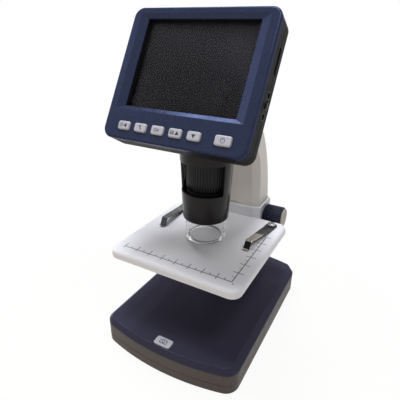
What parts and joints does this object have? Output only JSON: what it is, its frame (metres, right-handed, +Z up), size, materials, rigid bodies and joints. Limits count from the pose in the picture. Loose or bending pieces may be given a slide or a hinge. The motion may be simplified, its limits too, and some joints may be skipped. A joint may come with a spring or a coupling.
{
  "type": "digital microscope",
  "caption": "Desk microscope: camera tube on a curved arm above a sliding stage with swinging clips and a clamp knob, tilting screen with push buttons.",
  "frame": {"origin": "centre of the base's footprint, on the table under the rubber feet", "axes": "+Z up; -Y towards the user, the side the screen faces; +X to the user's right, the side of the clamp knob"},
  "size_m": [0.104, 0.145, 0.2227],
  "materials": {
    "navy_shell": "satin",
    "graphite_shell": "matt",
    "grey_wall": "matt",
    "ivory_shell": "satin",
    "white_plate": "satin",
    "silver_key": "satin",
    "black_tube": "polished",
    "ribbed_black": "matt",
    "clear_cap": "clear",
    "lens_glass": "clear",
    "screen_glass": "polished",
    "black_seal": "matt",
    "green_board": "solder mask",
    "sprung_chrome": "polished",
    "zinc_steel": "plated",
    "dark_alloy": "anodised",
    "bush_brass": "turned",
    "navy_knob": "matt",
    "beige_cap": "satin",
    "foot_rubber": "matt",
    "cell_pack": "film",
    "lamp_white": "clear"
  },
  "bodies": {
    "base_and_arm": {"base_bottom_cover": "grey_wall", "base_frame": "grey_wall", "base_top_cover": "navy_shell", "base_ballast_plate": "zinc_steel", "rubber_feet": "foot_rubber", "base_screws": "zinc_steel", "snapshot_board": "green_board", "arm_left_shell": "ivory_shell", "arm_right_shell": "ivory_shell", "arm_core": "zinc_steel", "arm_screws": "zinc_steel", "column_bolts": "zinc_steel", "tube_sleeve": "black_tube", "inner_tube": "dark_alloy", "sensor_board": "green_board", "led_board": "green_board", "ring_leds": "lamp_white", "clear_cap": "clear_cap", "tube_screws": "zinc_steel", "hinge_clevis": "dark_alloy", "clevis_screws": "zinc_steel", "hinge_pin": "zinc_steel", "hinge_washers": "zinc_steel"},
    "snapshot_key": {"snapshot_button": "silver_key"},
    "focus_collar": {"focus_ring": "ribbed_black"},
    "lens_carrier": {"lens_barrel": "dark_alloy", "objective_lens": "lens_glass"},
    "stage": {"stage_plate": "white_plate", "stage_carriage": "white_plate", "stage_screws": "zinc_steel", "lock_bush": "bush_brass", "clip_screws": "sprung_chrome"},
    "lock_shoe": {"lock_pad": "black_seal"},
    "lock_screw": {"lock_knob": "navy_knob", "lock_knob_cap": "beige_cap", "lock_spindle": "zinc_steel"},
    "left_clip": {"stage_clip_left": "sprung_chrome"},
    "right_clip": {"stage_clip_right": "sprung_chrome"},
    "display": {"display_bezel": "navy_shell", "display_frame": "graphite_shell", "display_rear_cover": "graphite_shell", "screen_gasket": "black_seal", "screen_window": "screen_glass", "lcd_panel": "screen_glass", "keypad_board": "green_board", "main_board": "green_board", "battery": "cell_pack", "card_socket": "zinc_steel", "usb_socket": "zinc_steel", "side_jacks": "black_tube", "display_screws": "zinc_steel", "display_hinge_bracket": "dark_alloy", "bracket_screws": "zinc_steel"},
    "back_key": {"back_button": "silver_key"},
    "light_key": {"light_button": "silver_key"},
    "ok_key": {"ok_button": "silver_key"},
    "up_key": {"up_button": "silver_key"},
    "down_key": {"down_button": "silver_key"},
    "power_key": {"power_button": "silver_key"},
    "dimmer": {"dimmer_wheel": "ribbed_black"}
  },
  "joints": [
    {"name": "display_tilt", "type": "hinge", "parent": "base_and_arm", "child": "display", "pos_m": [0, -0.016, 0.1728], "axis": [1, 0, 0], "range_deg": [-45, 15]},
    {"name": "stage_lift", "type": "slide", "parent": "base_and_arm", "child": "stage", "axis": [0, 0, 1], "range_m": [-0.038, 0]},
    {"name": "lock_shoe_slide", "type": "slide", "parent": "stage", "child": "lock_shoe", "axis": [1, 0, 0], "range_m": [0, 0.0008]},
    {"name": "lock_turn", "type": "hinge", "parent": "lock_shoe", "child": "lock_screw", "pos_m": [0.0322, 0.048, 0.0741], "axis": [1, 0, 0], "range_deg": [0, 360]},
    {"name": "left_clip_swing", "type": "hinge", "parent": "stage", "child": "left_clip", "pos_m": [-0.0375, 0.027, 0.0769], "axis": [0, 0, 1], "range_deg": [-60, 20]},
    {"name": "right_clip_swing", "type": "hinge", "parent": "stage", "child": "right_clip", "pos_m": [0.0375, 0.027, 0.0769], "axis": [0, 0, 1], "range_deg": [-20, 60]},
    {"name": "focus_turn", "type": "hinge", "parent": "base_and_arm", "child": "focus_collar", "pos_m": [0, -0.01, 0.127], "axis": [0, 0, 1], "range_deg": [-150, 150]},
    {"name": "lens_travel", "type": "slide", "parent": "base_and_arm", "child": "lens_carrier", "axis": [0, 0, 1], "range_m": [-0.0026, 0.0026]},
    {"name": "snapshot_press", "type": "slide", "parent": "base_and_arm", "child": "snapshot_key", "axis": [0, 0, -1], "range_m": [0, 0.0008], "stiffness_N_per_m": 800},
    {"name": "back_press", "type": "slide", "parent": "display", "child": "back_key", "axis": [0, 0.866, -0.5], "range_m": [0, 0.0008], "stiffness_N_per_m": 800},
    {"name": "light_press", "type": "slide", "parent": "display", "child": "light_key", "axis": [0, 0.866, -0.5], "range_m": [0, 0.0008], "stiffness_N_per_m": 800},
    {"name": "ok_press", "type": "slide", "parent": "display", "child": "ok_key", "axis": [0, 0.866, -0.5], "range_m": [0, 0.0008], "stiffness_N_per_m": 800},
    {"name": "up_press", "type": "slide", "parent": "display", "child": "up_key", "axis": [0, 0.866, -0.5], "range_m": [0, 0.0008], "stiffness_N_per_m": 800},
    {"name": "down_press", "type": "slide", "parent": "display", "child": "down_key", "axis": [0, 0.866, -0.5], "range_m": [0, 0.0008], "stiffness_N_per_m": 800},
    {"name": "power_press", "type": "slide", "parent": "display", "child": "power_key", "axis": [0, 0.866, -0.5], "range_m": [0, 0.0008], "stiffness_N_per_m": 800},
    {"name": "dimmer_turn", "type": "hinge", "parent": "display", "child": "dimmer", "pos_m": [0.0431, -0.03307, 0.17634], "axis": [0, -0.866, 0.5], "range_deg": [0, 270]}
  ],
  "couplings": [
    {"joint": "lock_shoe_slide", "follows": "lock_turn", "m_per_rad": 0.00012732},
    {"joint": "lens_travel", "follows": "focus_turn", "m_per_rad": 0.00095492}
  ]
}
